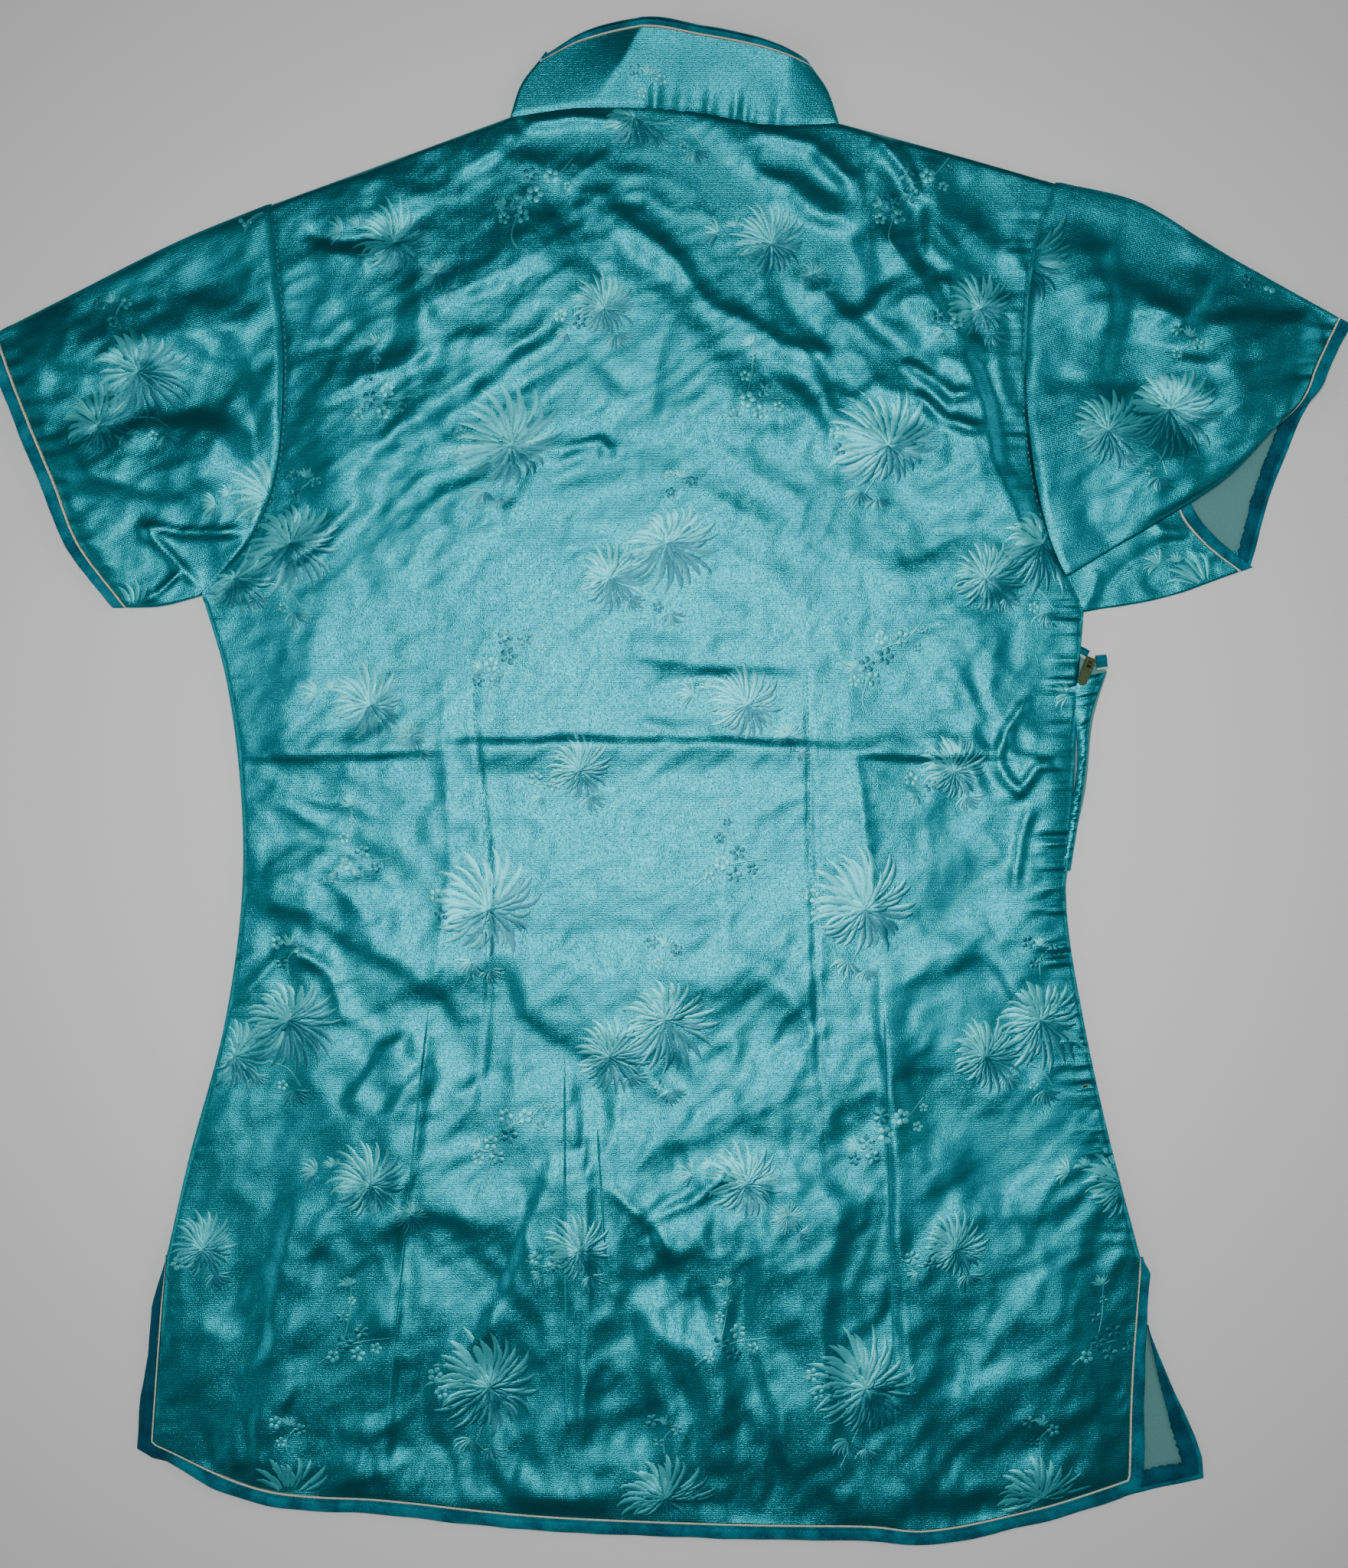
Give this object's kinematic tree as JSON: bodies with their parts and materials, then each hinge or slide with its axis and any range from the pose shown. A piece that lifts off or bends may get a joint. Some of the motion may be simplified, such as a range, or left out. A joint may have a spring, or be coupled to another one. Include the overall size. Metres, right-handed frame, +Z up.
{
  "type": "cheongsam blouse",
  "caption": "Short-sleeved cheongsam blouse of teal brocade with stand collar, side slits, bound edges and side zip, laid flat with its back uppermost.",
  "frame": {"origin": "centre of the laid-out outline, on the surface that the blouse lies on", "axes": "+X towards the wearer's right sleeve, +Y towards the collar, +Z up out of the back of the blouse"},
  "size_m": [0.6739, 0.7482, 0.0087],
  "materials": {
    "brocade": "satin brocade",
    "binding": "matte ribbed",
    "piping": "matte",
    "zip_tape": "matte woven tape",
    "zip_metal": "dulled"
  },
  "bodies": {
    "blouse": {"back_panel": "brocade", "back_hem_piping": "piping", "back_hem_binding": "binding", "front_panel": "brocade", "front_hem_piping": "piping", "front_hem_binding": "binding", "opening_piping": "piping", "opening_binding": "binding", "front_underlap": "brocade", "sleeve_left": "brocade", "sleeve_left_piping": "piping", "sleeve_left_binding": "binding", "sleeve_right": "brocade", "sleeve_right_piping": "piping", "sleeve_right_binding": "binding", "collar_band": "brocade", "collar_piping": "piping", "collar_binding": "binding", "zip_teeth": "zip_metal", "zip_tape": "zip_tape", "front_side_turn": "brocade", "opening_end_piping": "piping", "opening_end_binding": "binding", "zip_slider": "zip_metal"},
    "pull": {"zip_pull": "zip_metal"}
  },
  "joints": [
    {"name": "zip_pull_hinge", "type": "hinge", "parent": "blouse", "child": "pull", "pos_m": [0.20658, 0.05717, 0.0049], "axis": [-0.9272, 0.3746, 0], "range_deg": [0, 150]}
  ]
}
